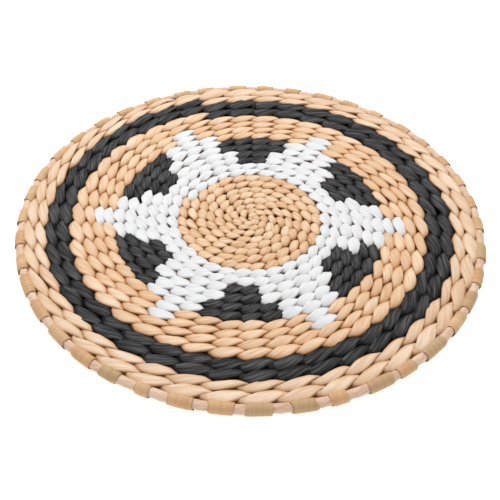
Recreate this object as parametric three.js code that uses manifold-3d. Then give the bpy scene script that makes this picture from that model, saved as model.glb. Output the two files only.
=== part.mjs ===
// A round seat mat, twined by hand from dried leaf. Flat leaf spokes run out from the middle, a spiral of
// two-strand weft encloses them row after row in three colours, and each spoke's end is wrapped once around a
// rim cord. Millimetres, +Z up. The origin is the middle of the underside.
import * as THREE from 'three';
import { mergeVertices } from 'three/addons/utils/BufferGeometryUtils.js';
import Module from 'manifold-3d';

const wasm = await Module();
wasm.setup();

// Driving dimensions
const WEAVE_THICKNESS = 9; // over the crowns of the weft rows
const VALLEY_DEPTH = 1.8; // from a row's crown down to the line between two rows
const CORE_FIRST_PITCH = 5.6; // width of the innermost row
const CORE_PITCH_STEP = 0.35; // each core row is this much wider than the one inside it
const WHITE_RING_PITCH = 7.65;
const STAR_PITCH = 8.9;
const FIELD_PITCH = 8.25;
const BLACK_BAND_PITCH = 10.15;
const OUTER_ROW_PITCH = 8.5;
const LAST_ROW_WIDTH = 12.7; // the last row at its wide end, where the spiral starts to run out
const SPOKE_WIDTH = 5;
const SPOKE_THICKNESS = 1.2;
const RIM_CORD_RADIUS = 4; // to the flats of its eight sides
const WRAP_THICKNESS = 0.7;
const WRAP_WIDTH = 13;
const EYE_OVERLAP = 0.8; // the plug in the middle of the spiral reaches this far past the first row's start
const CLEARANCE = 0.3;

// The weave's pattern
const SECTORS = 6; // petals, and points of the white star
const SPOKES_PER_SECTOR = 7;
const SPOKE_COUNT = SECTORS * SPOKES_PER_SECTOR;
const PITCH_ANGLE = 360 / SPOKE_COUNT; // degrees from one spoke to the next
const FIRST_SPOKE_ANGLE = -0.8;
const SEAM_ANGLE = FIRST_SPOKE_ANGLE + 12.5 * PITCH_ANGLE; // every colour starts and ends here, between two spokes
const PETAL_MIDDLE = 3.5; // in spokes, counted from the first one of each sector
const PETAL_OUTER_STITCHES = 4; // a petal is four stitches wide in its outer two rows
const PETAL_INNER_STITCHES = 2.33; // and two, of a coarser pitch, in its inner two
const TIP_STITCHES = 0.9; // a star point ends in one stitch, two rows long
const LEAD_TURN = 4 / 30; // the white starts this part of a turn before the core's last row ends
// New spokes are laid in as the mat grows. This is where each spoke of a sector starts, from the mat's middle.
const SPOKE_STARTS = [10, 47, 28, 62, 16, 80, 38];
// The weave is drawn a little round the middle, so its pattern turns by this many degrees towards the centre.
const LEAN_MEAN = -2;
const LEAN_SWING = 5.6;
const LEAN_TOWARDS = 135;

// Rows of weft, counted from the middle outwards. Row n ends where row n + 1 of the same spiral turn begins.
const CORE_ROWS = 8;
const RING_ROWS = 2;
const PETAL_ROWS = 4;
const FIELD_ROWS = 4;
const BAND_ROWS = 2;
const RING_START = CORE_ROWS;
const PETAL_START = RING_START + RING_ROWS;
const PETAL_STEP = PETAL_START + PETAL_ROWS / 2;
const FIELD_START = PETAL_START + PETAL_ROWS;
const TIP_END = FIELD_START + 2;
const BAND_START = FIELD_START + FIELD_ROWS;
const OUTER_START = BAND_START + BAND_ROWS;
const LAST_ROW = OUTER_START + 1;
const WEAVE_END = LAST_ROW + 1;

const ROW_WIDTHS = [];
for (let row = 0; row < WEAVE_END; row += 1) {
  let width = OUTER_ROW_PITCH;
  if (row < RING_START) width = CORE_FIRST_PITCH + row * CORE_PITCH_STEP;
  else if (row < PETAL_START) width = WHITE_RING_PITCH;
  else if (row < FIELD_START) width = STAR_PITCH;
  else if (row < BAND_START) width = FIELD_PITCH;
  else if (row < OUTER_START) width = BLACK_BAND_PITCH;
  ROW_WIDTHS.push(width);
}

// Radius of the line at a number of rows from the middle, where the number need not be whole.
function spiralRadius(rows) {
  let radius = 0;
  for (let row = 0; row < WEAVE_END; row += 1) {
    radius += ROW_WIDTHS[row] * Math.min(Math.max(rows - row, 0), 1);
  }
  return rows < 0 ? 0 : radius;
}

const RIM_INNER_RADIUS = spiralRadius(LAST_ROW) + LAST_ROW_WIDTH;
const LOOP_RADIUS = RIM_CORD_RADIUS + CLEARANCE + WRAP_THICKNESS; // of a wrap's outside, about the cord
const RIM_RADIUS = RIM_INNER_RADIUS + LOOP_RADIUS; // of the rim cord's middle
const SPOKE_Z = WEAVE_THICKNESS / 2;
const SEAM_TURN = CLEARANCE / 2 / spiralRadius(RING_START) / (2 * Math.PI); // half the seam gap, in turns
const SPLICE_TURN = 4 * SEAM_TURN;
const SPLICE_INSET = 0.1; // rows that a splice keeps away from the edges of its weft

const radians = (degrees) => (degrees * Math.PI) / 180;
const turnAt = (angle) => (SEAM_ANGLE - angle) / 360; // turns of the spiral from the seam, clockwise

// A row's line grows by one row over a turn. The last row is squeezed against the rim instead.
function weftRadius(row, turn) {
  if (row <= LAST_ROW) return spiralRadius(row + turn);
  const inner = spiralRadius(LAST_ROW + turn);
  return inner + (row - LAST_ROW) * (RIM_INNER_RADIUS - CLEARANCE - inner);
}

function lean(angle, radius) {
  const strength = Math.max(0, 1 - radius / RIM_INNER_RADIUS);
  return strength * (LEAN_MEAN + LEAN_SWING * Math.cos(radians(angle - LEAN_TOWARDS)));
}

function toSolid(geometry) {
  const bare = geometry.clone();
  bare.deleteAttribute('normal');
  bare.deleteAttribute('uv');
  const merged = mergeVertices(bare, 1e-4);
  return new wasm.Manifold(
    new wasm.Mesh({
      numProp: 3,
      vertProperties: new Float32Array(merged.attributes.position.array),
      triVerts: new Uint32Array(merged.index.array),
    }),
  );
}

function toMesh(name, solid, material) {
  const { numProp, vertProperties, triVerts } = solid.getMesh();
  const positions = new Float32Array((vertProperties.length / numProp) * 3);
  for (let i = 0; i < positions.length / 3; i += 1) {
    for (let k = 0; k < 3; k += 1) positions[3 * i + k] = vertProperties[numProp * i + k];
  }
  const geometry = new THREE.BufferGeometry();
  geometry.setAttribute('position', new THREE.BufferAttribute(positions, 3));
  geometry.setIndex([...triVerts]);
  geometry.computeVertexNormals();
  const mesh = new THREE.Mesh(geometry, material);
  mesh.name = name;
  return mesh;
}

// Extrudes an outline of [row, height] points straight, then bends it along the spiral between two turns.
function bentSolid(outline, turnStart, turnEnd) {
  const shape = new THREE.Shape(outline.map(([row, height]) => new THREE.Vector2(row, height)));
  const steps = Math.max(1, Math.round((turnEnd - turnStart) * SPOKE_COUNT));
  const geometry = new THREE.ExtrudeGeometry(shape, { depth: 1, steps, bevelEnabled: false });
  const position = geometry.attributes.position;
  for (let i = 0; i < position.count; i += 1) {
    const turn = turnStart + position.getZ(i) * (turnEnd - turnStart);
    const radius = weftRadius(position.getX(i), turn);
    const angle = radians(SEAM_ANGLE - 360 * turn);
    position.setXYZ(i, radius * Math.cos(angle), radius * Math.sin(angle), position.getY(i));
  }
  return toSolid(geometry);
}

// Rows of weft, with a ridge along each row, a flat underside and half a clearance off both edges.
function weftRows(firstRow, endRow) {
  const innerEdge = firstRow + (firstRow > 0 ? CLEARANCE / 2 / ROW_WIDTHS[firstRow] : 0);
  const outerEdge = endRow - (endRow < WEAVE_END ? CLEARANCE / 2 / ROW_WIDTHS[endRow - 1] : 0);
  const outline = [[innerEdge, 0], [outerEdge, 0], [outerEdge, WEAVE_THICKNESS - VALLEY_DEPTH]];
  for (let row = endRow - 1; row >= firstRow; row -= 1) {
    outline.push([row + 0.5, WEAVE_THICKNESS]);
    outline.push([row > firstRow ? row : innerEdge, WEAVE_THICKNESS - VALLEY_DEPTH]);
  }
  return bentSolid(outline, SEAM_TURN, 1 - SEAM_TURN);
}

// A full turn of rows. Where the turn ends, a short splice below the ridges carries each row on into the
// next one out.
function weftTurn(firstRow, endRow) {
  const low = VALLEY_DEPTH;
  const high = WEAVE_THICKNESS - 2 * VALLEY_DEPTH;
  const inner = firstRow + 1 + SPLICE_INSET;
  const outer = endRow - SPLICE_INSET;
  const outline = [[inner, low], [outer, low], [outer, high], [inner, high]];
  return weftRows(firstRow, endRow).add(bentSolid(outline, -SPLICE_TURN, SPLICE_TURN));
}

// A block over some rows and degrees, taller than the weave, that cuts a patch of colour out of it. A patch
// that would cross the seam stops there.
function patchBlock(firstRow, endRow, middleAngle, halfAngle, growth) {
  const radius = spiralRadius((firstRow + endRow) / 2 + turnAt(middleAngle));
  const growRows = growth / ROW_WIDTHS[firstRow];
  const halfTurn = (halfAngle + (growth / radius) * (180 / Math.PI)) / 360;
  const middle = turnAt(middleAngle) + (turnAt(middleAngle) < 0 ? 1 : 0);
  const low = -WEAVE_THICKNESS;
  const high = 2 * WEAVE_THICKNESS;
  const inner = firstRow - growRows;
  const outer = endRow + growRows;
  const outline = [[inner, low], [outer, low], [outer, high], [inner, high]];
  return bentSolid(outline, Math.max(middle - halfTurn, 0), Math.min(middle + halfTurn, 1));
}

function patternAngle(spokeIndex, row) {
  const angle = FIRST_SPOKE_ANGLE + spokeIndex * PITCH_ANGLE;
  const turn = turnAt(angle) + (turnAt(angle) < 0 ? 1 : 0);
  return angle + lean(angle, spiralRadius(row + turn));
}

function petalBlock(sector, growth) {
  const middleAngle = patternAngle(sector * SPOKES_PER_SECTOR + PETAL_MIDDLE, PETAL_STEP);
  const wide = (PETAL_OUTER_STITCHES / 2) * PITCH_ANGLE;
  const narrow = (PETAL_INNER_STITCHES / 2) * PITCH_ANGLE;
  const outerPart = patchBlock(PETAL_STEP, FIELD_START + 1, middleAngle, wide, growth);
  return outerPart.add(patchBlock(PETAL_START, PETAL_STEP + 0.5, middleAngle, narrow, growth));
}

function tipBlock(sector, growth) {
  const middleAngle = patternAngle(sector * SPOKES_PER_SECTOR, FIELD_START);
  return patchBlock(FIELD_START - 1, TIP_END, middleAngle, (TIP_STITCHES / 2) * PITCH_ANGLE, growth);
}

function leadBlock(growth) {
  const middleAngle = SEAM_ANGLE - 360 * (1 - LEAD_TURN / 2);
  return patchBlock(RING_START - 1, RING_START + 0.5, middleAngle, 180 * LEAD_TURN, growth);
}

// A prism of an outline across x and y, turned so that it runs along y, with its middle at the origin.
function prismAlongY(shape, length) {
  const geometry = new THREE.ExtrudeGeometry(shape, { depth: length, bevelEnabled: false });
  geometry.translate(0, 0, -length / 2);
  geometry.rotateX(Math.PI / 2);
  return geometry;
}

function octagonPoints(flatRadius) {
  const corner = flatRadius / Math.cos(Math.PI / 8);
  const points = [];
  for (let i = 0; i < 8; i += 1) {
    const angle = ((i + 0.5) * Math.PI) / 4;
    points.push(new THREE.Vector2(corner * Math.cos(angle), corner * Math.sin(angle)));
  }
  return points;
}

const spokeAngle = (index) => radians(FIRST_SPOKE_ANGLE + index * PITCH_ANGLE);

// A spoke starts no nearer the middle than where the spokes that already run beside it leave it room.
function spokeStart(index) {
  const listed = SPOKE_STARTS[index % SPOKES_PER_SECTOR];
  let start = listed;
  for (let apart = 1; apart < SPOKES_PER_SECTOR; apart += 1) {
    const room = (SPOKE_WIDTH / 2 + CLEARANCE) / Math.sin(radians(apart * PITCH_ANGLE) / 2);
    for (const other of [index + apart, index - apart + SPOKE_COUNT]) {
      if (SPOKE_STARTS[other % SPOKES_PER_SECTOR] < listed) start = Math.max(start, room);
    }
  }
  return start;
}

// The flat strip of a spoke, from its start inside the weave to its wrap, made larger by growth all round.
function spokeStrip(index, growth) {
  const start = spokeStart(index) - growth;
  const end = RIM_INNER_RADIUS + WRAP_THICKNESS / 2 + growth;
  const strip = new THREE.BoxGeometry(end - start, SPOKE_WIDTH + 2 * growth, SPOKE_THICKNESS + 2 * growth);
  strip.translate((start + end) / 2, 0, SPOKE_Z);
  strip.rotateZ(spokeAngle(index));
  return toSolid(strip);
}

// The end of a spoke: a closed band around the rim cord.
function spokeWrap(index) {
  const shape = new THREE.Shape(octagonPoints(LOOP_RADIUS));
  shape.holes.push(new THREE.Path(octagonPoints(RIM_CORD_RADIUS + CLEARANCE)));
  const wrap = prismAlongY(shape, WRAP_WIDTH);
  wrap.translate(RIM_RADIUS, 0, LOOP_RADIUS);
  wrap.rotateZ(spokeAngle(index));
  return toSolid(wrap);
}

// The cord has a straight side at each spoke, so every wrap sits square on it.
function rimCord() {
  const outline = octagonPoints(RIM_CORD_RADIUS);
  outline.forEach((point) => point.set(point.x + RIM_RADIUS, point.y + LOOP_RADIUS));
  outline.push(outline[0].clone());
  const ring = new THREE.LatheGeometry(outline, SPOKE_COUNT);
  ring.rotateX(Math.PI / 2);
  const cornerReach = 1 / Math.cos(Math.PI / SPOKE_COUNT);
  ring.scale(cornerReach, cornerReach, 1);
  ring.rotateZ(Math.PI / 2 + spokeAngle(0.5));
  return toSolid(ring);
}

const leaf = (color, roughness) => new THREE.MeshStandardMaterial({ color, roughness, metalness: 0 });
const NATURAL_LEAF = leaf(0xe8bd84, 0.7);
const PALE_LEAF = leaf(0xf0d0a4, 0.7);
const BLACK_LEAF = leaf(0x35363a, 0.65);
const WHITE_LEAF = leaf(0xf2f3f5, 0.65);
const SPOKE_LEAF = leaf(0xcda26a, 0.7);
const CORD_LEAF = leaf(0xdcbb9c, 0.75);

const spokeIndices = [...Array(SPOKE_COUNT).keys()];
const sectors = [...Array(SECTORS).keys()];
const joined = (solids) => solids.reduce((all, solid) => all.add(solid));
const channels = joined(spokeIndices.map((index) => spokeStrip(index, CLEARANCE)));
const petals = (growth) => sectors.map((sector) => petalBlock(sector, growth));
const tips = (growth) => joined(sectors.map((sector) => tipBlock(sector, growth)));

function eyePlug() {
  const radius = CORE_FIRST_PITCH + EYE_OVERLAP;
  const height = WEAVE_THICKNESS - VALLEY_DEPTH / 2;
  const plug = new THREE.CylinderGeometry(radius, radius, height, 12);
  plug.rotateX(Math.PI / 2);
  plug.translate(0, 0, height / 2);
  return toSolid(plug);
}

const mat = new THREE.Group();
const addPiece = (name, solid, material) => mat.add(toMesh(name, solid, material));
const addWeft = (name, solid, material) => addPiece(name, solid.subtract(channels), material);

for (const index of spokeIndices) {
  const name = `spoke_${String(index + 1).padStart(2, '0')}`;
  addPiece(name, spokeStrip(index, 0).add(spokeWrap(index)), SPOKE_LEAF);
}
addPiece('rim_cord', rimCord(), CORD_LEAF);

const coreRows = weftTurn(0, RING_START).subtract(leadBlock(CLEARANCE / 2));
addWeft('core_weft', coreRows.add(eyePlug()), NATURAL_LEAF);

const starRows = weftTurn(RING_START, FIELD_START).subtract(joined(petals(CLEARANCE / 2)));
const starTips = weftRows(FIELD_START - 1, TIP_END).intersect(tips(-CLEARANCE / 2));
const starLead = weftRows(RING_START - 1, RING_START + 1).intersect(leadBlock(-CLEARANCE / 2));
addWeft('white_star_weft', joined([starRows, starTips, starLead]), WHITE_LEAF);

const petalRows = weftRows(PETAL_START, FIELD_START);
petals(-CLEARANCE / 2).forEach((block, sector) => {
  addWeft(`black_petal_${sector + 1}`, petalRows.intersect(block), BLACK_LEAF);
});

addWeft('natural_field_weft', weftTurn(FIELD_START, BAND_START).subtract(tips(CLEARANCE / 2)), NATURAL_LEAF);
addWeft('black_band_weft', weftTurn(BAND_START, OUTER_START), BLACK_LEAF);
addWeft('outer_band_weft', weftTurn(OUTER_START, WEAVE_END), PALE_LEAF);

export default mat;
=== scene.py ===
"""Looks of a round seat mat, twined by hand from dried leaf.

Every row of weft is two strands that twist around each other, and every spoke passes between them, so
each strand runs over one spoke and under the next. The strands are built as closed tubes along that path,
in runs of one colour, and the spokes end in a wrap around the rim cord.
"""
import math
from collections import namedtuple

import bpy
import numpy as np
from mathutils import Matrix, Vector


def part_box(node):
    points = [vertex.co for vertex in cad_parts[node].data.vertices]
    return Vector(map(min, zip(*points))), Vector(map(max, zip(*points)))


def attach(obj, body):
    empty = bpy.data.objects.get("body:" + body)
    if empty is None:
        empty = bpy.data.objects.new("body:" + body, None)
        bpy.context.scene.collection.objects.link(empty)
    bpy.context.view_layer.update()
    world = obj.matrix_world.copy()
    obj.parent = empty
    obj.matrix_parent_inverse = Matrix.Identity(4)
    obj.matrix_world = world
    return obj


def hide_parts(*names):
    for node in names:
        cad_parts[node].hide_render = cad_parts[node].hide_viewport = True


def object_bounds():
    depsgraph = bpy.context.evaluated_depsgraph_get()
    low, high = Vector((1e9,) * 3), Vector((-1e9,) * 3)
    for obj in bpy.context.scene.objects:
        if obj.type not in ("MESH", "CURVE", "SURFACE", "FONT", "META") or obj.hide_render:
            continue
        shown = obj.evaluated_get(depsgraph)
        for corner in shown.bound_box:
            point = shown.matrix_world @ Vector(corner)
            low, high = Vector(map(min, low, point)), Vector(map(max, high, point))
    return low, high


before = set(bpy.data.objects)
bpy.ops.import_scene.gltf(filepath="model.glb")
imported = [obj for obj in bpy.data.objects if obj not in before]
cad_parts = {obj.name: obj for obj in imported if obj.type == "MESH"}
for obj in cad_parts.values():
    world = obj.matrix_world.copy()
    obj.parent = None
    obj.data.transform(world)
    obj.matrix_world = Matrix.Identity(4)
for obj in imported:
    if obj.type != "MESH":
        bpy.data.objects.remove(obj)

CAD_BOX = [list(corner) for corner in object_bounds()]
MM = 0.001
TURN = 2 * math.pi
UP = np.array([0, 0, 1.0])

# Sizes that the frame gives
MAT_RADIUS = -CAD_BOX[0][1]
RIM_TOP = CAD_BOX[1][2]
CORD_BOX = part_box("rim_cord")
CORD_RADIUS = (CORD_BOX[1].z - CORD_BOX[0].z) / 2
RIM_Z = (CORD_BOX[1].z + CORD_BOX[0].z) / 2
RIM_RADIUS = MAT_RADIUS - RIM_TOP / 2
RIM_INNER = RIM_RADIUS - RIM_TOP / 2
WEAVE_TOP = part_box("black_band_weft")[1].z
WEAVE_MIDDLE = WEAVE_TOP / 2

# The weave as the frame has it. Rows run clockwise from the seam, and are counted from the middle out.
SPOKES = 42
SECTORS = 6
PER_SECTOR = SPOKES // SECTORS
FIRST_SPOKE = math.radians(-0.8)
PITCH = TURN / SPOKES
SEAM = FIRST_SPOKE + 12.5 * PITCH
FIRST_PETAL = FIRST_SPOKE + 3.5 * PITCH
CORE_ROWS, RING_ROWS, PETAL_ROWS, FIELD_ROWS, BAND_ROWS, OUTER_ROWS = 8, 2, 4, 4, 2, 2
RING_START = CORE_ROWS
PETAL_START = RING_START + RING_ROWS
PETAL_STEP = PETAL_START + PETAL_ROWS // 2
FIELD_START = PETAL_START + PETAL_ROWS
TIP_END = FIELD_START + 2
BAND_START = FIELD_START + FIELD_ROWS
OUTER_START = BAND_START + BAND_ROWS
LAST_ROW = OUTER_START + 1
ROWS = LAST_ROW + 1
ROW_WIDTHS = MM * np.array(
    [5.6 + 0.35 * row for row in range(CORE_ROWS)]
    + [7.65] * RING_ROWS + [8.9] * PETAL_ROWS + [8.25] * FIELD_ROWS
    + [10.15] * BAND_ROWS + [8.5] * OUTER_ROWS
)
LINES = np.concatenate([[0], np.cumsum(ROW_WIDTHS)])
SPOKE_STARTS = MM * np.array([10, 47, 28, 62, 16, 80, 38])
LEAN_MEAN, LEAN_SWING, LEAN_TOWARDS = (math.radians(angle) for angle in (-2, 5.6, 135))

# Stitches of each row, and which of them have which colour, counted within a sector
COARSE_PER_SECTOR = 6  # in the petals' inner rows, which have fewer stitches
STITCHES = [6, 9, 12, 15, 18, 24, 24, 30, 30, 36, 36, 36] + [SPOKES] * 10
PETAL_INNER_STITCHES = (1, 2)
PETAL_OUTER_STITCHES = (0, 1, 2, 3)
TIP_STITCH = 5
WHITE_LEAD = 4  # white stitches at the end of the core's last row
COARSE_SHIFT = 0.29  # stitches, so that the petals' inner rows sit under their outer rows
SHIFT_RAMP = 1.5  # stitches from the seam, over which that shift sets in

# How the mat differs from a true circle: its outer rows swell after the seam, and its rim isn't round
ROW_SWELL = 3.8 * MM
SWELL_LAG = 0.08  # turns from the seam to the middle of the swell
SWELL_ROWS, SWELL_SHARES = (BAND_START - 0.5, OUTER_START, LAST_ROW, ROWS), (0, 1, 0.75, 0.4)
RIM_BULGES = [  # bearing, reach and height
    (math.radians(158), math.radians(34), 2.4 * MM),
    (math.radians(86), math.radians(22), -1.4 * MM),
]
RIM_LAP = 2.4 * MM  # the last row leans this far over the rim

# Mesh density
SAMPLES = 14  # along a stitch
SECTION = 18  # points around a strand
CROWDING = 0.38  # how much closer those points lie on the side that faces out of the weave

rng = np.random.default_rng(7)


def line_radius(rows):
    """Radius of the spiral line after so many rows."""
    share = np.interp(rows, SWELL_ROWS, SWELL_SHARES)
    swell = ROW_SWELL * share * (0.5 + 0.5 * np.cos(TURN * (rows - SWELL_LAG)))
    return np.interp(rows, np.arange(len(LINES)), LINES) + swell


def rim_bulge(angle):
    """How far the rim lies outside its circle."""
    total = 0
    for middle, reach, height in RIM_BULGES:
        apart = (angle - middle + math.pi) % TURN - math.pi
        total = total + height * np.exp(-((apart / reach) ** 2))
    return total


def row_edges(row, turn):
    """Inner and outer radius of a row, after some part of a turn from the seam."""
    inner = line_radius(row + turn)
    if row < LAST_ROW:
        return inner, line_radius(row + 1 + turn)
    return inner, RIM_INNER + RIM_LAP + rim_bulge(SEAM - TURN * turn)


def lean(angle, radius):
    """The spokes fan out a little askew, most of all near the middle."""
    strength = np.clip(1 - radius / RIM_INNER, 0, 1)
    return strength * (LEAN_MEAN + LEAN_SWING * np.cos(angle - LEAN_TOWARDS))


def turn_of_stitch(row, x):
    """Turns from the seam at a place along a row that is counted in stitches."""
    count = STITCHES[row]
    if PETAL_START <= row < PETAL_STEP:
        ramp = np.clip(x / SHIFT_RAMP, 0, 1) * np.clip((count - x) / SHIFT_RAMP, 0, 1)
        x = x - COARSE_SHIFT * ramp
    return x / count


def stitch_colour(row, k):
    if row < RING_START:
        return "white" if row == RING_START - 1 and k >= STITCHES[row] - WHITE_LEAD else "natural"
    if row < PETAL_START:
        return "white"
    if row < PETAL_STEP:
        return "black" if k % COARSE_PER_SECTOR in PETAL_INNER_STITCHES else "white"
    if row < FIELD_START:
        return "black" if k % PER_SECTOR in PETAL_OUTER_STITCHES else "white"
    if row < TIP_END:
        return "white" if k % PER_SECTOR == TIP_STITCH else "field"
    if row < BAND_START:
        return "field"
    return "black" if row < OUTER_START else "pale"


def hue_of_row(row):
    """Undyed rows are most golden next to the star, and palest in the middle and near the rim."""
    return np.interp(row, [0, CORE_ROWS, FIELD_START, BAND_START, ROWS], [-0.5, 0.6, 0.7, -0.5, -0.4])


def smoothstep(value):
    value = np.clip(value, 0, 1)
    return value * value * (3 - 2 * value)


def unit(vectors):
    return vectors / np.linalg.norm(vectors, axis=1, keepdims=True)


def power(value, exponent):
    """The value's size to a power, with its sign kept."""
    return np.sign(value) * np.abs(value) ** exponent


def steps(count):
    """Start and end of each of so many equal steps from 0 to 1."""
    place = np.linspace(0, 1, count + 1)
    return np.stack([place[:-1], place[1:]], -1)


def around(count):
    """Angles around a section, as a row."""
    return np.linspace(-math.pi, math.pi, count, endpoint=False)[None]


# ---------------------------------------------------------------- meshes


class Surface:
    """Tubes of points that become one mesh, with a neat UV map and its point attributes."""

    margin = 0.04  # of a UV cell

    def __init__(self, name):
        self.name = name
        self.points = []
        self.quads = []
        self.corners = []
        self.fans = []
        self.fan_corners = []
        self.attributes = {}
        self.count = 0
        self.cells = 0

    def add(self, points, cell, along, across, attributes, closed=False):
        """points is (n, m, 3), a tube of n rings, whose ends are capped unless it is closed. Each stretch
        from one ring to the next has its UV cell in cell, and where it starts and ends there in along,
        which is (stretches, 2). across is (m + 1), a ring's place across its cell."""
        n, m, _ = points.shape
        stretches = n if closed else n - 1
        i = np.arange(stretches)[:, None]
        j = np.arange(m)[None, :]
        i2 = (i + 1) % n
        j2 = (j + 1) % m
        quads = np.stack([i * m + j, i * m + j2, i2 * m + j2, i2 * m + j], -1)
        u0, u1, v0, v1 = (
            np.broadcast_to(side, quads.shape[:2])
            for side in (across[None, :-1], across[None, 1:], along[:, :1], along[:, 1:]))
        uv = np.stack([np.stack(pair, -1) for pair in ((u0, v0), (u1, v0), (u1, v1), (u0, v1))], -2)
        cells = np.broadcast_to(np.asarray(cell)[:, None], quads.shape[:2])
        self.quads.append(quads.reshape(-1, 4) + self.count)
        self.corners.append((uv.reshape(-1, 4, 2), cells.reshape(-1)))
        self.points.append(points.reshape(-1, 3))
        for key, value in attributes.items():
            self.attributes.setdefault(key, []).append(np.broadcast_to(value, (n, m)).reshape(-1))
        if not closed:
            self.cap(self.count, range(m), across, along[0, 0], cell[0])
            self.cap(self.count + (n - 1) * m, range(m - 1, -1, -1), across, along[-1, 1], cell[-1])
        self.count += n * m

    def cap(self, first, order, across, place, cell):
        """A flat face over an end of a tube, whose ring starts at point first."""
        self.fans.append([first + k for k in order])
        self.fan_corners.append(([(across[k], place) for k in order], cell))

    def build(self, material, slot, nodes):
        mesh = bpy.data.meshes.new(self.name)
        quads = np.concatenate(self.quads)
        fan_sizes = np.array([len(fan) for fan in self.fans], int)
        flat = np.concatenate([quads.reshape(-1)] + [np.array(fan) for fan in self.fans]).astype(np.int32)
        sizes = np.concatenate([np.full(len(quads), 4), fan_sizes]).astype(np.int32)
        starts = np.concatenate([[0], np.cumsum(sizes)[:-1]]).astype(np.int32)
        points = np.concatenate(self.points).astype(np.float32)
        mesh.vertices.add(len(points))
        mesh.vertices.foreach_set("co", points.reshape(-1))
        mesh.loops.add(len(flat))
        mesh.loops.foreach_set("vertex_index", flat)
        mesh.polygons.add(len(sizes))
        mesh.polygons.foreach_set("loop_start", starts)
        mesh.polygons.foreach_set("loop_total", sizes)
        mesh.polygons.foreach_set("use_smooth", np.ones(len(sizes), bool))
        mesh.update(calc_edges=True)
        mesh.validate()
        layer = mesh.uv_layers.new(name="OFBake")
        layer.data.foreach_set("uv", self.uv().astype(np.float32).reshape(-1))
        for key, values in self.attributes.items():
            attribute = mesh.attributes.new(key, "FLOAT", "POINT")
            attribute.data.foreach_set("value", np.concatenate(values).astype(np.float32))
        mesh.materials.append(material)
        piece = bpy.data.objects.new(self.name, mesh)
        bpy.context.scene.collection.objects.link(piece)
        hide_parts(*nodes)
        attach(piece, "root")

    def uv(self):
        """The cells in a square grid, with the tubes' corners in them and then the caps'."""
        side = math.ceil(math.sqrt(self.cells))
        scale = 1 - 2 * self.margin
        uv = []
        for local, cell in self.corners:
            place = np.stack([cell % side, cell // side], -1)[:, None, :]
            uv.append(((place + self.margin + local * scale) / side).reshape(-1, 2))
        for local, cell in self.fan_corners:
            place = np.array([cell % side, cell // side])
            uv.append((place + self.margin + np.array(local) * scale) / side)
        return np.concatenate(uv)


# ---------------------------------------------------------------- strands

EVEN = np.linspace(-1, 1, SECTION, endpoint=False)
PHI = math.pi * ((1 - CROWDING) * EVEN + CROWDING * EVEN ** 3)
ACROSS = np.concatenate([(PHI / math.pi + 1) / 2, [1.0]])
C, S = np.cos(PHI)[None], np.sin(PHI)[None]

# Width is half the real one, as a share of the row, and neck is the same where the strand dives. Thickness
# is half the real one, in mm. Flat and blunt are powers: the nearer 0, the flatter the section and the
# blunter the ends of a stitch. Fold is a depth in mm. Lumps are a share of the thickness, and wander is one
# of the row.
Look = namedtuple("Look", "width neck thickness flat blunt fold folds lumps wander")
LOOKS = {
    "natural": Look(0.55, 0.27, 1.65, 0.62, 0.60, 0.20, 3, 0.06, 0.08),
    "field": Look(0.55, 0.33, 1.95, 0.62, 0.70, 0.20, 3, 0.05, 0.05),
    "pale": Look(0.55, 0.35, 2.10, 0.62, 0.75, 0.22, 3, 0.05, 0.05),
    "white": Look(0.60, 0.46, 1.40, 0.50, 0.45, 0.12, 4, 0.05, 0.07),
    "black": Look(0.56, 0.41, 2.00, 0.62, 0.70, 0.42, 5, 0.12, 0.05),
}
REACH = 0.3  # stitches that a strand runs on, out of sight, where its colour starts or ends above
LOWER_REACH = 0.12  # the same where it starts or ends below
STAY_DOWN = 0.2  # the last part of a stitch, over which such a strand no longer rises
LOWER_NECK = 0.54  # half width below the neck, as a share of the row: it closes the gap between two rows
LOW_AT = 0.3  # how far below the middle it has that width, as a share of its rise
SWING = 0.30  # how far a strand swings to either side of its row, as a share of the row
WIDEST = 12.5 * MM  # a row that is wider than this doesn't swing further
DIVE_OUT = 0.3  # in such a row, a strand dives further out by this share of the width to spare
PLATEAU = 2.4  # how quickly a strand dives between two crowns
PLATEAU_SHARE = 0.75  # of its rise, the rest being a plain wave
LIFT_BIAS = 0.36  # crossings sit this much nearer the upper face
CORE_DROP = 0.1 * MM  # the core lies this much lower
THICK_PITCH = 8 * MM  # the row width at which a strand has its own thickness
THICK_RANGE = (0.78, 1.1)  # the least and most of it, in narrower and wider rows
ROLL = 0.35  # how far a section tilts as its strand swings
LEAST_UP = 0.3  # keeps a section upright where its strand dives
SIDE_POWER = 0.92  # does for a section's sides what flat does for its face
END_TAPER, END_SIZE = 0.25, 0.15  # a strand's hidden end: how long in stitches, and how small
FOLD_SPREAD = 0.55  # the folds lie within this share of the half width
FOLD_TWIST = 0.35  # how far they run askew over one stitch
EDGE_SHADE = 0.22  # painted shade: the edges of a strand take the shade of a place this much lower
LAST_STITCH = SPOKES - 1.3  # where the last stitch of all starts to widen and to draw in, to end the spiral
LAST_RAMP = 0.4  # stitches, over which it does
LAST_WIDENING, LAST_INSET = 0.75, 3 * MM
FLOOR_GAP, TOP_SLACK = 0.05 * MM, 0.4 * MM  # how near the floor, and how far over the weave, it may lie

# How much one stitch differs from the next
VARY_THICKNESS, VARY_WIDTH, VARY_ROLL = 0.06, 0.08, 0.12
VARY_HEIGHT = 0.16 * MM
VARY_PLACE = 0.03  # stitches
VARY_FOLD_DEPTH, VARY_WITHIN_FOLD = 0.5, 0.4
VARY_HUE = 0.6
FIBRE_START, FIBRE_SHIFT = 5, 0.05  # how far along and across its fibres may start, in metres


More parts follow.
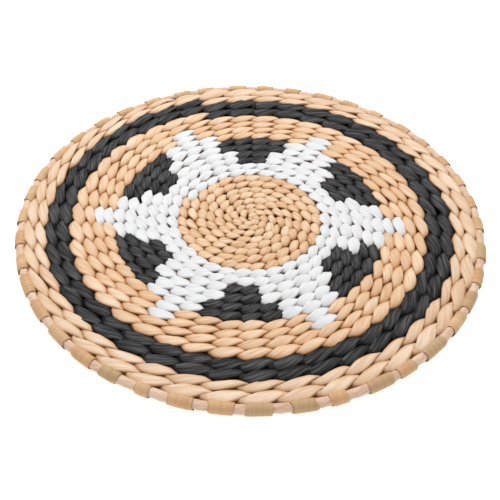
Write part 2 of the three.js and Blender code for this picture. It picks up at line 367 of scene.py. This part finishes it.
class Strand:
    """One strand of a row, over and under the spokes from stitch first to stitch last."""

    def __init__(self, row, first, last, strand, colour):
        self.row, self.first, self.last = row, first, last
        self.look = LOOKS[colour]
        starts_above, ends_above = (first + strand) % 2 == 0, (last + strand) % 2 == 0
        begin = first - (REACH if starts_above else LOWER_REACH)
        end = last + 1 + (REACH if ends_above else LOWER_REACH)
        self.x = np.linspace(begin, end, int(round((end - begin) * SAMPLES)) + 1)
        rises_from = begin if starts_above else first + STAY_DOWN
        rises_to = end if ends_above else last + 1 - STAY_DOWN
        lift = np.sin(math.pi * (np.clip(self.x, rises_from, rises_to) + strand))
        plateau = np.tanh(PLATEAU * (lift + LIFT_BIAS)) / math.tanh(PLATEAU * (1 + LIFT_BIAS))
        self.rise = PLATEAU_SHARE * plateau + (1 - PLATEAU_SHARE) * lift
        self.crown = np.abs(lift)
        self.swing = np.cos(math.pi * (self.x + strand))
        self.ending = smoothstep((self.x - LAST_STITCH) / LAST_RAMP) * (row == LAST_ROW)
        self.turn = turn_of_stitch(row, self.x)
        self.inner, self.outer = row_edges(row, self.turn)
        self.pitch = self.outer - self.inner
        self.narrow = np.minimum(self.pitch, WIDEST)

    def vary(self, amount, pace=1):
        """A random value that changes from stitch to stitch, or pace times as often."""
        places = np.arange(self.first - 1, self.last + 2, 1 / pace) + 0.5 / pace
        values = rng.normal(0, amount, len(places)).clip(-2 * amount, 2 * amount)
        return np.interp(self.x, places, values)

    def lay(self):
        """Its path, its half thickness along it, and the way out of the mat there."""
        plump = 1 + self.vary(VARY_THICKNESS) + self.vary(self.look.lumps, 4)
        thickness = self.look.thickness * MM * plump * np.clip(self.pitch / THICK_PITCH, *THICK_RANGE)
        top = WEAVE_TOP - (CORE_DROP if self.row < RING_START else 0)
        height = (top - WEAVE_MIDDLE - thickness) * self.rise + self.vary(VARY_HEIGHT)
        centre = (self.inner + self.outer) / 2 + DIVE_OUT * (self.pitch - self.narrow) * (1 - self.crown)
        stray = self.narrow * self.vary(self.look.wander) * self.crown ** 0.5
        radius = centre - SWING * self.narrow * self.swing + stray - LAST_INSET * self.ending
        angle = SEAM - TURN * self.turn
        angle = angle + lean(angle, radius) + self.vary(VARY_PLACE) * TURN / STITCHES[self.row]
        path = np.stack([radius * np.cos(angle), radius * np.sin(angle), WEAVE_MIDDLE + height], -1)
        outward = np.stack([np.cos(angle), np.sin(angle), np.zeros(len(angle))], -1)
        return path, thickness, outward

    def directions(self, path, outward):
        """Which way each section has its thickness, and which way its width."""
        tangent = unit(np.gradient(path, axis=0))
        roll = self.vary(VARY_ROLL) - ROLL * self.swing
        upright = np.sqrt(self.rise ** 2 + LEAST_UP ** 2)
        normal = roll[:, None] * outward + upright[:, None] * UP
        normal = unit(normal - (normal * tangent).sum(1, keepdims=True) * tangent)
        return normal, np.cross(normal, tangent)

    def half_width(self):
        wide = self.look.width * (1 + self.vary(VARY_WIDTH)) * (1 + LAST_WIDENING * self.ending)
        neck = self.narrow * self.look.neck
        neck = neck + (self.pitch * LOWER_NECK - neck) * smoothstep(-self.rise / LOW_AT)
        return neck + (self.pitch * wide - neck) * self.crown ** self.look.blunt

    def dents(self):
        """How deep the folds are, on the side that is seen, and nowhere else."""
        folds = self.look.folds
        total = np.zeros((len(self.x), SECTION))
        twist = FOLD_TWIST * (self.x - np.floor(self.x) - 0.5)
        for share in np.linspace(-FOLD_SPREAD, FOLD_SPREAD, folds):
            place = share + self.vary(0.5 / folds) + twist
            depth = np.clip(0.8 + self.vary(VARY_FOLD_DEPTH) + self.vary(VARY_WITHIN_FOLD, 4), 0, 2)
            groove = np.exp(-(((S - place[:, None]) / (0.5 / folds)) ** 2))
            total += self.look.fold * MM * depth[:, None] * groove
        return total * (C * self.rise[:, None] > 0) * self.crown[:, None]

    def add_to(self, surface):
        path, thickness, outward = self.lay()
        normal, side = self.directions(path, outward)
        half = self.half_width()
        x = self.x
        ends = smoothstep((x - x[0]) / END_TAPER) * smoothstep((x[-1] - x) / END_TAPER)
        ends = END_SIZE + (1 - END_SIZE) * ends
        t = (thickness * ends)[:, None] * power(C, self.look.flat)
        t -= self.dents() * np.sign(self.rise)[:, None]
        w = (half * ends)[:, None] * power(S, SIDE_POWER)
        points = path[:, None] + t[..., None] * normal[:, None] + w[..., None] * side[:, None]
        points[..., 2] = np.clip(points[..., 2], FLOOR_GAP, WEAVE_TOP + TOP_SLACK)

        count = self.last - self.first + 1
        stitch = np.clip(np.floor((x[:-1] + x[1:]) / 2), self.first, self.last).astype(int)
        along = (np.stack([x[:-1], x[1:]], -1) - stitch[:, None] + REACH) / (1 + 2 * REACH)
        at = np.clip(np.floor(x), self.first, self.last).astype(int) - self.first
        length = np.concatenate([[0], np.cumsum(np.linalg.norm(np.diff(path, axis=0), axis=1))])
        tint = rng.uniform(-1, 1, count + 1)[at][:, None]
        length += rng.uniform(0, FIBRE_START)
        hue = rng.uniform(-VARY_HUE, VARY_HUE, count + 1)[at] + hue_of_row(self.row)
        surface.add(points, surface.cells + stitch - self.first, along, ACROSS, {
            "tint": tint,
            # crown: how far from the weave's middle height a point lies, less towards a strand's edges; the
            # leaf material paints shade where it is small
            "crown": np.abs(points[..., 2] - WEAVE_MIDDLE) / WEAVE_MIDDLE - EDGE_SHADE * np.abs(S) ** 3,
            "lengthwise": length[:, None],
            "sidewise": half[:, None] * S + FIBRE_SHIFT * tint,
            "hue": hue[:, None],
        })
        surface.cells += count


# The ends of leaf in the middle: bearing in radians, height and half length in mm
EYE_ENDS = [
    (0.3, -2.5, 4.5), (1.9, -2.0, 4.5), (0.5, 0.0, 4.4),
    (2.2, 0.35, 4.0), (1.3, 0.7, 3.2), (2.7, 0.8, 2.6),
]
EYE_DEPTH = 2.8 * MM  # from the top of the weave to height 0
EYE_BOW, EYE_DROOP = 1.1 * MM, 0.8 * MM
EYE_HALF_WIDTH, EYE_HALF_THICKNESS = 2.0 * MM, 1.2 * MM
EYE_RINGS = 16
EYE_END_SIZE = 0.25  # of the full section


def add_eye(surface):
    """The start of the spiral: short ends of leaf, folded over each other."""
    t = np.linspace(-1, 1, EYE_RINGS)
    size = (EYE_END_SIZE + (1 - EYE_END_SIZE) * (1 - t ** 2) ** 0.5)[:, None]
    bow = EYE_BOW * (1 - t ** 2)
    w = EYE_HALF_WIDTH * size * S
    for bearing, lift, reach in EYE_ENDS:
        along = reach * MM * t
        east, north = math.cos(bearing), math.sin(bearing)
        x = along * east - bow * north
        y = along * north + bow * east
        z = WEAVE_TOP - EYE_DEPTH + lift * MM - EYE_DROOP * t ** 2
        points = np.stack([
            x[:, None] - w * north, y[:, None] + w * east, z[:, None] + EYE_HALF_THICKNESS * size * C], -1)
        surface.add(points, np.full(EYE_RINGS - 1, surface.cells), steps(EYE_RINGS - 1), ACROSS, {
            "tint": np.full((1, 1), lift),
            # the leaf material paints shade where the ends lie low
            "crown": np.abs(points[..., 2] / WEAVE_TOP * 2 - 1),
            "lengthwise": along[:, None],
            "sidewise": w + bearing,
            "hue": np.zeros((1, 1)),
        })
        surface.cells += 1


# ---------------------------------------------------------------- materials


class Nodes:
    """A short way to write a node tree."""

    def __init__(self, name):
        self.material = bpy.data.materials.new(name)
        self.material.use_nodes = True
        self.tree = self.material.node_tree
        self.shader = self.tree.nodes["Principled BSDF"]

    def new(self, kind, **settings):
        node = self.tree.nodes.new(kind)
        for key, value in settings.items():
            setattr(node, key, value)
        return node

    def link(self, source, target):
        self.tree.links.new(source, target)

    def feed(self, socket, value):
        if isinstance(value, bpy.types.NodeSocket):
            self.link(value, socket)
        else:
            socket.default_value = value

    def attribute(self, name):
        return self.new("ShaderNodeAttribute", attribute_name=name).outputs["Fac"]

    def math(self, operation, a, b):
        node = self.new("ShaderNodeMath", operation=operation)
        self.feed(node.inputs[0], a)
        self.feed(node.inputs[1], b)
        return node.outputs[0]

    def vector(self, x, y, z):
        node = self.new("ShaderNodeCombineXYZ")
        for socket, value in zip(node.inputs, (x, y, z)):
            self.feed(socket, value)
        return node.outputs[0]

    def noise(self, vector, detail, roughness):
        node = self.new("ShaderNodeTexNoise")
        self.feed(node.inputs["Vector"], vector)
        node.inputs["Scale"].default_value = 1.0
        node.inputs["Detail"].default_value = detail
        node.inputs["Roughness"].default_value = roughness
        return node.outputs["Fac"]

    def span(self, value, low, high, to_low=0.0, to_high=1.0):
        node = self.new("ShaderNodeMapRange")
        self.feed(node.inputs["Value"], value)
        for key, number in zip(("From Min", "From Max", "To Min", "To Max"), (low, high, to_low, to_high)):
            node.inputs[key].default_value = number
        return node.outputs["Result"]

    def mix(self, factor, a, b):
        node = self.new("ShaderNodeMix", data_type="RGBA", blend_type="MIX")
        self.feed(node.inputs["Factor"], factor)
        self.feed(node.inputs[6], a)
        self.feed(node.inputs[7], b)
        return node.outputs[2]

    def bump(self, height, strength, distance):
        node = self.new("ShaderNodeBump")
        self.feed(node.inputs["Height"], height)
        node.inputs["Strength"].default_value = strength
        node.inputs["Distance"].default_value = distance
        self.link(node.outputs["Normal"], self.shader.inputs["Normal"])


def srgb(colour):
    """Linear colour with alpha from 8-bit display values."""
    channels = []
    for value in colour:
        value /= 255
        channels.append(value / 12.92 if value <= 0.04045 else ((value + 0.055) / 1.055) ** 2.4)
    return (*channels, 1.0)


BUMP_DISTANCE = 0.6 * MM


def leaf_material(name, base, light, dark, shade_colour, crevice_shade, other=None, tint=0.8, low=0.8, fibre=0.3,
                  streak=0.15, pace=420, crease=0.5, depth=0.35, rough=(0.5, 0.75), specular=0.3):
    """Dried leaf: fibres run along the strand, and each stitch has its own tone. Its creases, the sides of
    each strand and the dips of the weave get painted shade, browner and darker. Colours are 8-bit display
    values. A stitch lies between base and other by its hue, and between dark and light by its tint."""
    n = Nodes(name)
    base, light, dark, shade_colour, crevice_shade = (srgb(colour) for colour in (base, light, dark, shade_colour, crevice_shade))
    along, across = n.attribute("lengthwise"), n.attribute("sidewise")

    def grain(along_pace, across_pace, offset, detail=2.0, roughness=0.5):
        """Noise that is stretched along the strand. Paces are per metre."""
        x, y = n.math("MULTIPLY", along, along_pace), n.math("MULTIPLY", across, across_pace)
        return n.noise(n.vector(x, y, offset), detail, roughness)

    fibres = grain(60, 1500, 0.0, 3.0, 0.6)
    streaks = grain(25, pace, 3.0)
    creases = grain(30, 640, 6.0, 1.0)
    blotches = grain(45, 110, 9.0)
    if other:
        base = n.mix(n.span(n.attribute("hue"), -1.0, 1.0), base, srgb(other))
    tone = n.span(n.attribute("tint"), -1.0, 1.0, 0.5 - 0.5 * tint, 0.5 + 0.5 * tint)
    colour = n.mix(0.5, base, n.mix(tone, dark, light))
    colour = n.mix(n.span(blotches, 0.35, 0.65, 0.0, 0.4), colour, dark)
    colour = n.mix(n.span(streaks, 0.52 - streak, 0.52 + streak, 0.0, fibre), colour, light)
    colour = n.mix(n.span(fibres, 0.55, 0.3, 0.0, fibre), colour, dark)
    # painted shade in the creases, which the bump below sinks as grooves
    colour = n.mix(n.span(creases, 0.56, 0.66, 0.0, crease), colour, shade_colour)
    # painted shade on the sides of each strand and wherever the weave lies low: the lower the crown, the
    # more of the shade colour, up to the share low
    colour = n.mix(n.span(n.attribute("crown"), 0.95, 0.66, 0.0, low), colour, shade_colour)
    # painted shade, darker still, in the weave's deepest places, where the strands dive under each other
    colour = n.mix(n.span(n.attribute("crown"), 0.72, 0.42, 0.0, 0.9), colour, crevice_shade)
    n.link(colour, n.shader.inputs["Base Color"])
    n.link(n.span(fibres, 0.3, 0.7, rough[1], rough[0]), n.shader.inputs["Roughness"])
    n.link(n.span(n.attribute("crown"), 0.7, 0.35, specular, 0.0), n.shader.inputs["Specular IOR Level"])
    ridges = n.math("SUBTRACT", streaks, n.span(creases, 0.5, 0.66, 0.0, 0.5))
    n.bump(n.math("ADD", n.math("MULTIPLY", fibres, 0.5), ridges), depth, BUMP_DISTANCE)
    return n.material


# In every leaf, the colours for the sides, the creases and the crevices are painted shade.
MATERIALS = {
    "natural": leaf_material(
        "leaf_core", base=(228, 200, 167), light=(243, 225, 201), dark=(198, 154, 112),
        shade_colour=(200, 143, 91), crevice_shade=(78, 42, 22), other=(231, 192, 147)),
    "field": leaf_material(
        "leaf_field", base=(228, 202, 171), light=(243, 225, 203), dark=(200, 158, 118),
        shade_colour=(210, 152, 100), crevice_shade=(88, 50, 27), other=(231, 189, 142)),
    "pale": leaf_material(
        "leaf_outer", base=(229, 204, 178), light=(243, 227, 207), dark=(206, 168, 132),
        shade_colour=(208, 162, 120), crevice_shade=(116, 74, 44), other=(226, 190, 152)),
    # The white's crevice colour is brown: painted shade, and also the undyed leaf that shows where its
    # strands cross.
    "white": leaf_material(
        "leaf_white", base=(223, 223, 223), light=(228, 228, 228), dark=(214, 215, 217),
        shade_colour=(206, 205, 204), crevice_shade=(112, 76, 52),
        tint=0.4, low=0.3, fibre=0.12, crease=0.6, depth=0.2),
    "black": leaf_material(
        "leaf_black", base=(14, 14, 15), light=(90, 90, 91), dark=(7, 7, 8),
        shade_colour=(10, 10, 10), crevice_shade=(3, 2, 2),
        fibre=0.85, streak=0.1, pace=620, depth=1.0, rough=(0.4, 0.6), specular=0.18),
    "wrap": leaf_material(
        "leaf_wrap", base=(212, 158, 104), light=(226, 194, 158), dark=(172, 132, 92),
        shade_colour=(160, 112, 70), crevice_shade=(96, 62, 34), other=(168, 144, 100),
        tint=1.0, fibre=0.2, crease=0.15, depth=0.3),
    "cord": leaf_material(
        "leaf_cord", base=(222, 190, 162), light=(236, 212, 190), dark=(202, 160, 130),
        shade_colour=(176, 130, 100), crevice_shade=(120, 80, 56),
        fibre=0.4, crease=0.3, depth=0.5),
    # The hidden spokes are a darker brown than their undyed leaf: painted shade for the gaps they show
    # through.
    "strip": leaf_material(
        "leaf_strip", base=(160, 104, 62), light=(176, 120, 74), dark=(140, 88, 52),
        shade_colour=(140, 88, 52), crevice_shade=(120, 74, 42)),
}


# ---------------------------------------------------------------- weft


def piece_for(row, k, colour):
    """The piece that a stitch belongs to: its name, material, slot and the CAD node it stands for."""
    if colour == "natural":
        return "core_strands", "natural", "natural_leaf", "core_weft"
    if colour == "white":
        part = "white_ring_strands" if row < PETAL_START else "white_star_strands"
        return part, "white", "white_leaf", "white_star_weft"
    if colour == "field":
        return f"field_strands_{row - FIELD_START + 1}", "field", "natural_leaf", "natural_field_weft"
    if colour == "pale":
        return f"outer_strands_{row - OUTER_START + 1}", "pale", "pale_leaf", "outer_band_weft"
    if row >= BAND_START:
        return f"black_band_strands_{row - BAND_START + 1}", "black", "black_leaf", "black_band_weft"
    middle = SEAM - TURN * turn_of_stitch(row, k + 0.5)
    sector = round((middle - FIRST_PETAL) / (TURN / SECTORS)) % SECTORS
    return f"petal_strands_{sector + 1}", "black", "black_leaf", f"black_petal_{sector + 1}"


def runs_of_colour(row):
    """First stitch, last stitch and colour of each run of one colour in a row."""
    colours = [stitch_colour(row, k) for k in range(STITCHES[row])]
    first = 0
    for k, colour in enumerate(colours):
        if k + 1 == len(colours) or colours[k + 1] != colour:
            yield first, k, colour
            first = k + 1


def weft():
    """Every row's two strands, in the pieces that their colours and places give them."""
    pieces = {}
    for row in range(ROWS):
        for first, last, colour in runs_of_colour(row):
            name, material, slot, node = piece_for(row, first, colour)
            surface, *_ = pieces.setdefault(name, (Surface(name), material, slot, node))
            for strand in (0, 1):
                Strand(row, first, last, strand, colour).add_to(surface)
    add_eye(pieces["core_strands"][0])
    for surface, material, slot, node in pieces.values():
        surface.build(MATERIALS[material], slot, [node])


# ---------------------------------------------------------------- rim

CORD_RINGS, CORD_SECTION = 1260, 24
CORD_SHARE = 0.88  # of the CAD cord's radius, the rest being room for wrinkles and wraps
CORD_WRINKLES = ((84, 5, 0.16), (-126, 3, 0.10), (168, 4, 0.12), (61, 7, 0.08))  # turns, lobes, mm deep
CORD_WAVES = ((11, 1, 0.2), (23, 0, 0.15))  # waves around the mat, phase and height in mm
CORD_TWIST, CORD_SLANT = 0.8, 0.3  # how far its fibres run askew, around and along

STRIP_HALF_WIDTH, STRIP_HALF_THICKNESS = 2.2 * MM, 0.6 * MM
STRIP_FULL_WIDTH_AT = 26 * MM  # nearer the middle, a strip narrows with its radius
STRIP_END = RIM_INNER + 0.6 * MM
STRIP_RINGS, STRIP_SECTION = 14, 8

# Each wrap, anticlockwise from the first spoke: golden, olive, tan, pale or cream, and how wide, in
# degrees. A tone is a hue and a tint.
WRAP_TONES = {"g": (-1, 0.0), "o": (1, 0.0), "t": (-0.4, 0.75), "p": (-0.5, 1.0), "c": (-0.6, 1.1)}
WRAP_KINDS = "ttpgttppptttptpttgpttpgpggtgotggoogogocogo"
WRAP_WIDTHS = [
    4.5, 4.5, 4.5, 4, 3.5, 4.5, 3.5, 4.5, 5.5, 4.5, 4.5, 4.5, 4.5, 5, 4.5, 4.5, 5, 5, 6, 5.5, 5.5,
    5, 5, 4.5, 6, 6, 6, 6, 4.5, 3.3, 5.5, 5.5, 5.5, 5.5, 4, 6, 4.5, 6.5, 6, 5.5, 5, 5,
]
WRAP_RINGS, WRAP_SECTION = 44, 26
WRAP_MIDDLE, WRAP_HALF_THICKNESS = CORD_RADIUS + 0.2 * MM, 0.3 * MM
WRAP_BELLY, WRAP_RIDGE, WRAP_SKEW = 0.25 * MM, 0.05 * MM, 0.9 * MM
WRAP_RIDGE_PACES = (9, 17, 26)
WRAP_SHIFT, WRAP_SHIFT_SWING, WRAP_SHIFT_VARY = 0.4, 1.5, 0.4  # degrees that it sits past its spoke
WRAP_SHIFT_TOWARDS = math.radians(120)
WRAP_FIBRE_SHIFT = 0.03  # metres from one wrap's fibres to the next one's
ANY_PHASE = (0, 6)


def rim_cord():
    """A cord of twisted leaf, wrinkled askew to its run."""
    surface = Surface("rim_rope")
    a = np.linspace(0, TURN, CORD_RINGS, endpoint=False)[:, None]
    b = around(CORD_SECTION)
    r = CORD_RADIUS * CORD_SHARE + sum(
        depth * MM * np.sin(lobes * b + turns * a + rng.uniform(*ANY_PHASE))
        for turns, lobes, depth in CORD_WRINKLES)
    waver = sum(height * MM * np.sin(waves * a + phase) for waves, phase, height in CORD_WAVES)
    ring = RIM_RADIUS + rim_bulge(a) + waver + r * np.cos(b)
    points = np.stack([ring * np.cos(a), ring * np.sin(a), RIM_Z + r * np.sin(b)], -1)
    per_cell = CORD_RINGS // SPOKES
    cell = np.arange(CORD_RINGS) // per_cell
    surface.cells = SPOKES
    surface.add(points, cell, np.tile(steps(per_cell), (SPOKES, 1)), np.linspace(0, 1, CORD_SECTION + 1), {
        "tint": rng.uniform(-1, 1, SPOKES)[cell][:, None],
        "crown": np.ones((1, 1)),
        "lengthwise": a * RIM_RADIUS + CORD_TWIST * b * CORD_RADIUS,
        "sidewise": b * CORD_RADIUS - CORD_SLANT * a * RIM_RADIUS,
        "hue": np.zeros((1, 1)),
    }, closed=True)
    surface.build(MATERIALS["cord"], "rim_leaf", ["rim_cord"])


def add_spoke_strip(surface, index, tint):
    """The hidden length of a spoke, flat between the strands."""
    radius = np.linspace(SPOKE_STARTS[index % len(SPOKE_STARTS)], STRIP_END, STRIP_RINGS)[:, None]
    angle = FIRST_SPOKE + index * PITCH
    bearing = angle + lean(angle, radius)
    phi = around(STRIP_SECTION)
    y = STRIP_HALF_WIDTH * np.cos(phi) * np.minimum(1, radius / STRIP_FULL_WIDTH_AT)
    z = WEAVE_MIDDLE + STRIP_HALF_THICKNESS * np.sin(phi) + 0 * y
    east, north = np.cos(bearing), np.sin(bearing)
    points = np.stack([radius * east - y * north, radius * north + y * east, z], -1)
    cell = np.full(STRIP_RINGS - 1, surface.cells)
    surface.cells += 1
    surface.add(points, cell, steps(STRIP_RINGS - 1), np.linspace(0, 1, STRIP_SECTION + 1), {
        "tint": tint,
        "crown": np.ones((1, 1)),
        "lengthwise": radius,
        "sidewise": y,
        "hue": np.zeros((1, 1)),
    })


def add_wrap(surface, index):
    """The end of a spoke, one flat turn of leaf around the rim cord, with its own width and tone."""
    hue, tone = WRAP_TONES[WRAP_KINDS[index]]
    b = around(WRAP_RINGS).T
    edge = around(WRAP_SECTION)
    flat = power(np.cos(edge), 0.4)
    rise = power(np.sin(edge), 0.6)
    width = math.radians(WRAP_WIDTHS[index]) * RIM_RADIUS / 2
    sides = 1 + 0.05 * np.sin(b + rng.uniform(*ANY_PHASE)) + 0.03 * np.sin(3 * b + rng.uniform(*ANY_PHASE))
    skew = WRAP_SKEW * np.sin(b + rng.uniform(*ANY_PHASE)) * rng.uniform(0.3, 1)
    y = width * flat * sides + skew
    belly = WRAP_BELLY * (1 - flat ** 2)
    ridges = sum(WRAP_RIDGE * np.sin(flat * pace + rng.uniform(*ANY_PHASE)) for pace in WRAP_RIDGE_PACES)
    r = WRAP_MIDDLE + WRAP_HALF_THICKNESS * rise + (belly + ridges) * (rise > 0) + 0 * b
    angle = FIRST_SPOKE + index * PITCH
    shift = WRAP_SHIFT + WRAP_SHIFT_SWING * math.cos(angle - WRAP_SHIFT_TOWARDS)
    bearing = angle + math.radians(shift + rng.normal(0, WRAP_SHIFT_VARY))
    ring = RIM_RADIUS + rim_bulge(bearing) + r * np.cos(b)
    east, north = math.cos(bearing), math.sin(bearing)
    points = np.stack([ring * east - y * north, ring * north + y * east, RIM_Z + r * np.sin(b)], -1)
    cell = np.full(WRAP_RINGS, surface.cells)
    surface.cells += 1
    surface.add(points, cell, steps(WRAP_RINGS), np.linspace(0, 1, WRAP_SECTION + 1), {
        "tint": np.full((1, 1), tone + rng.uniform(-0.2, 0.2)),
        # lowers towards the wrap's edges, so the leaf material paints shade along them
        "crown": 1 - 0.2 * np.abs(flat) ** 12,
        "lengthwise": b * CORD_RADIUS,
        "sidewise": y + index * WRAP_FIBRE_SHIFT,
        "hue": np.full((1, 1), hue),
    }, closed=True)


def spokes():
    """Each spoke is a strip inside the weave and a wrap on the rim. All strips are one piece, and all wraps
    are another."""
    strips, wraps = Surface("spoke_strips"), Surface("spoke_wraps")
    for index in range(SPOKES):
        add_spoke_strip(strips, index, rng.uniform(-1, 1))
        add_wrap(wraps, index)
    names = [f"spoke_{index + 1:02d}" for index in range(SPOKES)]
    strips.build(MATERIALS["strip"], "spoke_leaf", names)
    wraps.build(MATERIALS["wrap"], "spoke_leaf", names)


# ---------------------------------------------------------------- camera, light and floor

LENS = 63.31
CAMERA_ELEVATION, CAMERA_ROLL = math.radians(43.606), math.radians(0.989)
CAMERA_DISTANCE = 3.8195 * MAT_RADIUS
CAMERA_AIM = Vector((-0.0044 * MAT_RADIUS, -0.1521 * MAT_RADIUS, 0))
WHITE = (1, 1, 1, 1)
WORLD_STRENGTH = 0.58
FLOOR_GREY, FLOOR_GLOW, FLOOR_ROUGHNESS = 0.75, 0.62, 0.9
FLOOR_REACH = 4.0


def camera():
    data = bpy.data.cameras.new("camera")
    data.sensor_width = 36
    data.lens = LENS
    view = bpy.data.objects.new("camera", data)
    bpy.context.scene.collection.objects.link(view)
    place = CAMERA_DISTANCE * Vector((0, -math.cos(CAMERA_ELEVATION), math.sin(CAMERA_ELEVATION)))
    forward = (CAMERA_AIM - place).normalized()
    right = forward.cross(Vector((0, 0, 1))).normalized()
    up = right.cross(forward)
    x = math.cos(CAMERA_ROLL) * right + math.sin(CAMERA_ROLL) * up
    y = math.cos(CAMERA_ROLL) * up - math.sin(CAMERA_ROLL) * right
    turned = Matrix((x, y, -forward)).transposed().to_4x4()
    view.matrix_world = Matrix.Translation(place) @ turned
    bpy.context.scene.camera = view


def area_light(name, place, size, power):
    """A round light that faces the middle of the mat."""
    data = bpy.data.lights.new(name, "AREA")
    data.shape = "DISK"
    data.size = size
    data.energy = power
    lamp = bpy.data.objects.new(name, data)
    bpy.context.scene.collection.objects.link(lamp)
    lamp.location = place
    lamp.rotation_euler = (-Vector(place)).to_track_quat("-Z", "Y").to_euler()


def studio():
    world = bpy.data.worlds.new("studio")
    bpy.context.scene.world = world
    world.use_nodes = True
    world.node_tree.nodes["Background"].inputs["Color"].default_value = WHITE
    world.node_tree.nodes["Background"].inputs["Strength"].default_value = WORLD_STRENGTH
    area_light("key", (-0.3, 0.9, 1.3), 0.7, 19)
    area_light("fill", (0.5, -1.2, 1.2), 1.2, 4)
    floor = Nodes("floor_paint")
    floor.shader.inputs["Base Color"].default_value = (FLOOR_GREY, FLOOR_GREY, FLOOR_GREY, 1)
    floor.shader.inputs["Emission Color"].default_value = WHITE
    floor.shader.inputs["Emission Strength"].default_value = FLOOR_GLOW
    floor.shader.inputs["Roughness"].default_value = FLOOR_ROUGHNESS
    mesh = bpy.data.meshes.new("floor")
    corners = [(x * FLOOR_REACH, y * FLOOR_REACH, 0) for x, y in ((-1, -1), (1, -1), (1, 1), (-1, 1))]
    mesh.from_pydata(corners, [], [(0, 1, 2, 3)])
    mesh.materials.append(floor.material)
    plane = bpy.data.objects.new("floor", mesh)
    bpy.context.scene.collection.objects.link(plane)
    bpy.context.scene.view_settings.view_transform = "Standard"


camera()
weft()
rim_cord()
spokes()
studio()
